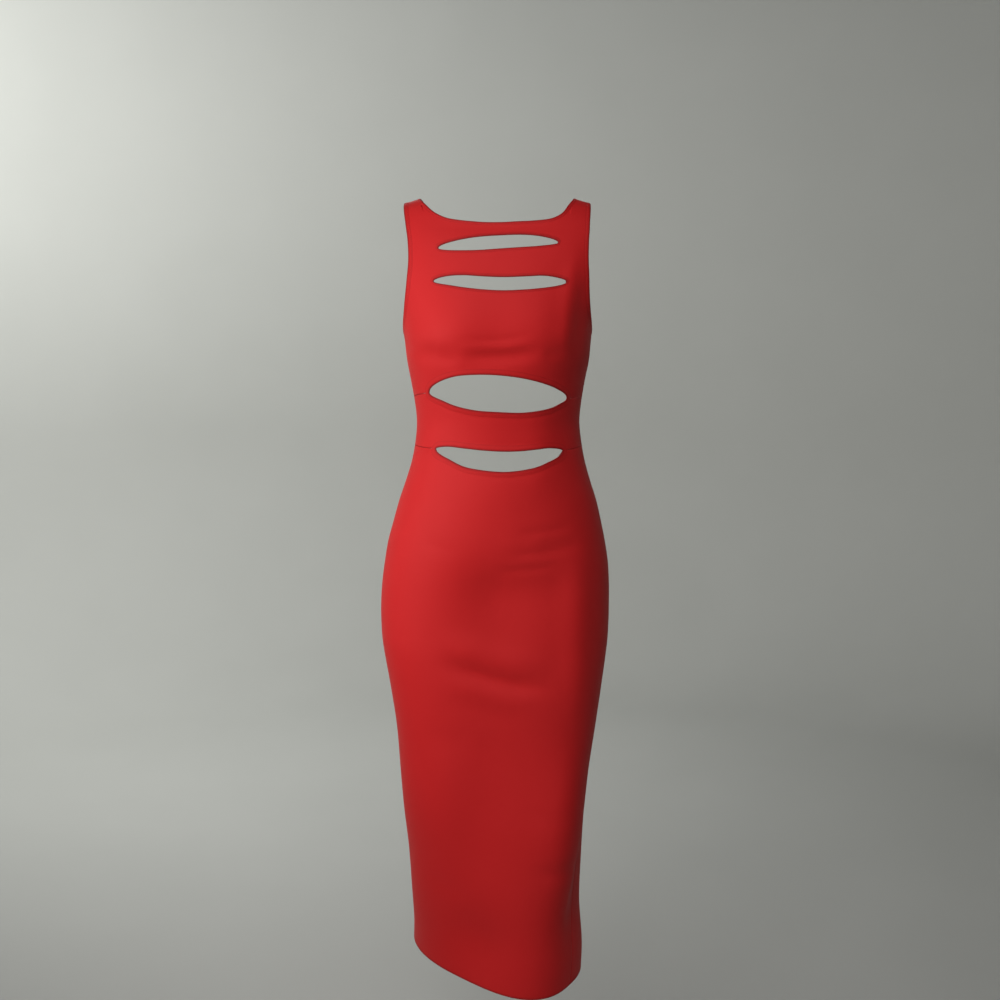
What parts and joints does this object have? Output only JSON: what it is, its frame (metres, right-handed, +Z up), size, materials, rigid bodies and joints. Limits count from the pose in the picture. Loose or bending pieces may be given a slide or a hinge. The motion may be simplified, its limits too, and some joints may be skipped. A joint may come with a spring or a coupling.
{
  "type": "bodycon dress",
  "caption": "Sleeveless red midi bodycon dress in smooth double knit, with curved cut-outs across the front, shoulder straps and a low open back, in its worn shape.",
  "frame": {"origin": "midway between the tops of the two shoulder straps, where the wearer's shoulders carry the dress", "axes": "+Z up, -Y towards the front of the dress, +X towards the wearer's left"},
  "size_m": [0.3367, 0.2712, 1.1296],
  "materials": {
    "cloth": "matte double knit with a faint sheen",
    "edge_band": "matte double knit"
  },
  "bodies": {
    "root": {"front_bodice": "cloth", "front_midriff": "cloth", "front_skirt": "cloth", "side_back_left": "cloth", "side_back_right": "cloth", "back_skirt": "cloth", "neck_and_back_band": "edge_band", "armhole_band_left": "edge_band", "armhole_band_right": "edge_band", "chest_slit_band": "edge_band", "upper_slit_band": "edge_band", "underbust_cutout_band": "edge_band", "waist_cutout_band": "edge_band"}
  },
  "joints": []
}
